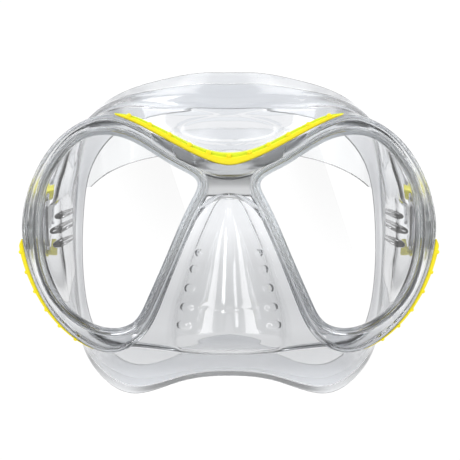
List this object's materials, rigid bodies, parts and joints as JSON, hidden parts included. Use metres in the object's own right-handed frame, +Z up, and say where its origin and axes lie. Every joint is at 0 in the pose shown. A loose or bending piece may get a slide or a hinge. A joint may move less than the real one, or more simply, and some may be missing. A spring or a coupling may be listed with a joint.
{
  "type": "snorkel mask",
  "caption": "Clear snorkel mask with a lens in each ring, a silicone skirt with nose pocket, yellow trims, and a swivelling strap with squeeze-button buckles.",
  "frame": {"origin": "middle of the face seal on the mask's mid-plane, 28 mm behind the front face of the glass, level with the middle of the lenses", "axes": "+X towards the wearer's left, +Y from the lenses into the wearer's head, +Z up; the mask's front looks along -Y, and left and right in the names are the wearer's"},
  "size_m": [0.1688, 0.1902, 0.1321],
  "materials": {
    "clear_silicone": "clear satin silicone",
    "clear_polycarbonate": "clear polished",
    "lens_glass": "tempered, polished",
    "yellow_trim": "matte soft-touch",
    "yellow_button": "gloss",
    "clear_acetal": "clear gloss",
    "stainless_pin": "brushed",
    "strap_silicone": "clear satin silicone"
  },
  "bodies": {
    "mask": {"skirt": "clear_silicone", "frame": "clear_polycarbonate", "lens_left": "lens_glass", "lens_right": "lens_glass", "retaining_ring_left": "clear_polycarbonate", "retaining_ring_right": "clear_polycarbonate", "brow_trim": "yellow_trim", "side_trim_left": "yellow_trim", "side_trim_right": "yellow_trim", "pivot_pin_left": "stainless_pin", "pivot_pin_right": "stainless_pin"},
    "strap": {"strap": "strap_silicone", "buckle_body_left": "clear_acetal", "buckle_body_right": "clear_acetal", "roller_axle_left": "stainless_pin", "roller_axle_right": "stainless_pin"},
    "roller_left": {"roller_left": "clear_acetal"},
    "roller_right": {"roller_right": "clear_acetal"},
    "pawl_left": {"pawl_left": "clear_acetal"},
    "pawl_right": {"pawl_right": "clear_acetal"},
    "button_upper_left": {"button_upper_left": "yellow_button"},
    "button_upper_right": {"button_upper_right": "yellow_button"},
    "button_lower_left": {"button_lower_left": "yellow_button"},
    "button_lower_right": {"button_lower_right": "yellow_button"},
    "strap_keeper_left": {"strap_keeper_left": "strap_silicone"},
    "strap_keeper_right": {"strap_keeper_right": "strap_silicone"}
  },
  "joints": [
    {"name": "strap_swivel", "type": "hinge", "parent": "mask", "child": "strap", "pos_m": [0, -0.011, -0.002], "axis": [1, 0, 0], "range_deg": [-64, 30]},
    {"name": "button_upper_left_press", "type": "slide", "parent": "strap", "child": "button_upper_left", "axis": [0, 0.3256, -0.9455], "range_m": [0, 0.0018], "stiffness_N_per_m": 700, "springref_m": -0.001},
    {"name": "button_lower_left_press", "type": "slide", "parent": "strap", "child": "button_lower_left", "axis": [0, -0.3256, 0.9455], "range_m": [0, 0.0018]},
    {"name": "pawl_left_lift", "type": "hinge", "parent": "strap", "child": "pawl_left", "pos_m": [0.0789, 0.01217, 0.00598], "axis": [0, 0.3256, -0.9455], "range_deg": [0, 6]},
    {"name": "roller_left_turn", "type": "hinge", "parent": "strap", "child": "roller_left", "pos_m": [0.0789, 0.00129, 0.00223], "axis": [0, -0.3256, 0.9455], "continuous": true},
    {"name": "strap_keeper_left_slide", "type": "slide", "parent": "strap", "child": "strap_keeper_left", "axis": [0, 0.9455, 0.3256], "range_m": [-0.002, 0.005]},
    {"name": "button_upper_right_press", "type": "slide", "parent": "strap", "child": "button_upper_right", "axis": [0, 0.3256, -0.9455], "range_m": [0, 0.0018], "stiffness_N_per_m": 700, "springref_m": -0.001},
    {"name": "button_lower_right_press", "type": "slide", "parent": "strap", "child": "button_lower_right", "axis": [0, -0.3256, 0.9455], "range_m": [0, 0.0018]},
    {"name": "pawl_right_lift", "type": "hinge", "parent": "strap", "child": "pawl_right", "pos_m": [-0.0789, 0.01217, 0.00598], "axis": [0, -0.3256, 0.9455], "range_deg": [0, 6]},
    {"name": "roller_right_turn", "type": "hinge", "parent": "strap", "child": "roller_right", "pos_m": [-0.0789, 0.00129, 0.00223], "axis": [0, -0.3256, 0.9455], "continuous": true},
    {"name": "strap_keeper_right_slide", "type": "slide", "parent": "strap", "child": "strap_keeper_right", "axis": [0, 0.9455, 0.3256], "range_m": [-0.002, 0.005]}
  ],
  "couplings": [
    {"joint": "button_lower_left_press", "follows": "button_upper_left_press", "ratio": 1},
    {"joint": "pawl_left_lift", "follows": "button_upper_left_press", "rad_per_m": 58},
    {"joint": "button_lower_right_press", "follows": "button_upper_right_press", "ratio": 1},
    {"joint": "pawl_right_lift", "follows": "button_upper_right_press", "rad_per_m": 58}
  ]
}
